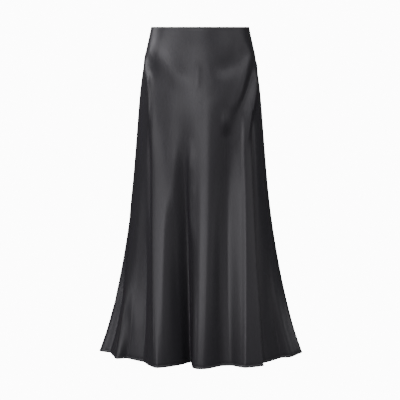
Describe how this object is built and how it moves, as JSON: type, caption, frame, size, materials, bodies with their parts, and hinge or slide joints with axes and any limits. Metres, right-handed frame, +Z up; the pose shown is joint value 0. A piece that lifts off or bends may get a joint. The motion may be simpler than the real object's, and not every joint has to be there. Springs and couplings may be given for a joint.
{
  "type": "mermaid fishtail skirt",
  "caption": "Long satin skirt, close over the hips and flared into deep soft flutes at the hem, worn-shape and hollow, with a concealed side zip.",
  "frame": {"origin": "middle of the waist opening, level with the waist edge, where a wearer's waist holds the skirt", "axes": "+Z up out of the waist opening, -Y out of the centre front, +X towards the wearer's left side, where the zip is"},
  "size_m": [0.5349, 0.4085, 0.85],
  "materials": {
    "satin": "charcoal polyester satin, smooth and softly glossy",
    "zip_tape": "matt charcoal woven tape",
    "zip_enamel": "charcoal enamel, satin gloss"
  },
  "bodies": {
    "skirt": {"front_panel": "satin", "back_panel": "satin", "zip_tape": "zip_tape", "zip_slider": "zip_enamel"},
    "pull": {"zip_pull": "zip_enamel"}
  },
  "joints": [
    {"name": "pull_hinge", "type": "hinge", "parent": "skirt", "child": "pull", "pos_m": [0.12674, 0.02518, -0.01345], "axis": [0.3329, -0.9429, 0.0114], "range_deg": [0, 170]}
  ]
}
